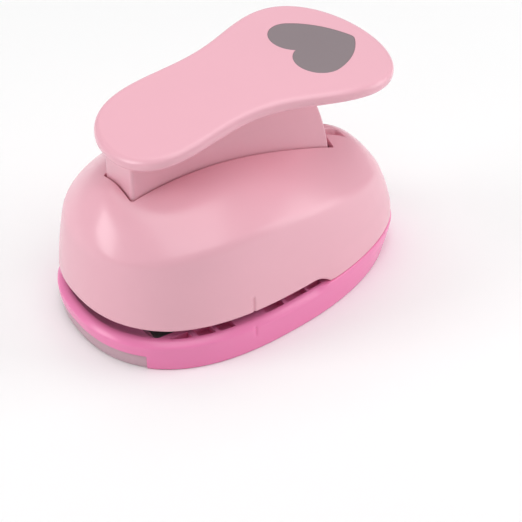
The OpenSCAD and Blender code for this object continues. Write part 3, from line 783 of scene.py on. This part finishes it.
# ---------------------------------------------------------------- put together

piece(housing(), "body", PALE, ["upper_housing"], degrees=50)
piece(base(), "body", HOT, ["base_shell"], sliver=0.02)
piece(cover(), "body", GREY, ["bottom_cover"])
piece(lever_plate(), "lever", PALE, ["lever_cover"], degrees=40)
piece(lever_box(), "lever", PALE, ["lever_core"])
piece(heart_piece(), "lever", INLAY, ["heart_inlay"], sliver=0.0005)
spring = piece(springs(), "body", WIRE, ["return_springs"], degrees=60)
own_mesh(spring)

# CAD solids that are seen as they are
KEPT = {
    "die_plate": HARD, "spacer_bar": HARD, "guide_plate": STEEL, "die_screws": STEEL,
    "guide_posts": WIRE, "post_clips": HARD, "spring_seats": STEEL, "pivot_frame": STEEL,
    "frame_screws": STEEL, "pivot_pin": WIRE, "pin_clips": HARD, "housing_screws": STEEL,
    "pivot_bushes": BRASS, "pressure_pin": WIRE, "punch_head": STEEL, "punch_carrier": WHITE,
    "carrier_bushes": BRASS, "wear_plate": HARD, "head_screws": STEEL,
}
for node_name, material in KEPT.items():
    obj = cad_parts[node_name]
    obj.data.materials.clear()
    obj.data.materials.append(material)


# ---------------------------------------------------------------- floor, light and camera

def floor():
    """Pale table, a hair below the base so that the two faces don't coincide."""
    n, size, drop = 24, 900.0, 0.02
    xs = np.linspace(-size, size, n)
    verts = np.array([[x, y, -drop] for y in xs for x in xs])
    faces = [[j * n + i, j * n + i + 1, (j + 1) * n + i + 1, (j + 1) * n + i]
             for j in range(n - 1) for i in range(n - 1)]
    obj = new_object("floor", verts, faces)
    mat, tree, bsdf = node_tree("pale_floor")
    fac = noise(tree, 6, 2)
    tree.links.new(tint(tree, fac, (0.93, 0.93, 0.93), (0.96, 0.96, 0.96)), bsdf.inputs["Base Color"])
    bsdf.inputs["Roughness"].default_value = 0.9
    bsdf.inputs["Specular IOR Level"].default_value = 0.1
    obj.data.materials.append(mat)


floor()

world = bpy.data.worlds.new("studio")
world.use_nodes = True
world.node_tree.nodes["Background"].inputs["Color"].default_value = (1, 1, 1, 1)
world.node_tree.nodes["Background"].inputs["Strength"].default_value = 0.28
scene = bpy.context.scene
scene.world = world
scene.view_settings.view_transform = "Standard"

AZ, EL = math.radians(-33), math.radians(37)
DIST = 550.0                # from the camera to the plane that it aims at
VIEW_W = 175.168            # width of the view in that plane
AIM = (-9.04, -3.88)        # where the part's origin lies from the view's middle, right and up
right = Vector((math.cos(AZ), math.sin(AZ), 0))
back = Vector((math.sin(AZ) * math.cos(EL), -math.cos(AZ) * math.cos(EL), math.sin(EL)))
up = Vector((-math.sin(AZ) * math.sin(EL), math.cos(AZ) * math.sin(EL), math.cos(EL)))
cam = bpy.data.cameras.new("camera")
cam.sensor_width = 36
cam.lens = cam.sensor_width * DIST / VIEW_W
cam.clip_start, cam.clip_end = 0.01, 10
camera = bpy.data.objects.new("camera", cam)
scene.collection.objects.link(camera)
place = back * DIST - right * AIM[0] - up * AIM[1]
camera.matrix_world = Matrix((
    (right.x, up.x, back.x, place.x * MM), (right.y, up.y, back.y, place.y * MM),
    (right.z, up.z, back.z, place.z * MM), (0, 0, 0, 1)))
scene.camera = camera


def area_light(name, at, aim, size, power):
    """Soft light at a place in metres, turned towards aim, its power in watts."""
    data = bpy.data.lights.new(name, "AREA")
    data.shape = "RECTANGLE"
    data.size, data.size_y = size
    data.energy = power
    obj = bpy.data.objects.new(name, data)
    scene.collection.objects.link(obj)
    obj.location = Vector(at)
    obj.rotation_euler = (Vector(aim) - Vector(at)).to_track_quat("-Z", "Y").to_euler()


area_light("front", (-0.12, -0.40, 1.05), (0, 0, 0.03), (0.8, 0.8), 3.76)
area_light("top", (0.05, 0.28, 1.1), (0, 0, 0.03), (0.9, 0.9), 4.1)
area_light("back", (0.46, 0.66, 0.62), (0, 0, 0.03), (1.3, 0.8), 0.7)
area_light("left", (-0.76, 0.24, 0.38), (0, 0, 0.03), (0.35, 0.45), 2.3)
area_light("right", (0.72, -0.36, 0.44), (0, 0, 0.03), (0.6, 0.5), 2.4)
area_light("low", (0.72, -0.5, 0.12), (0, 0, 0.03), (0.5, 0.18), 0.75)
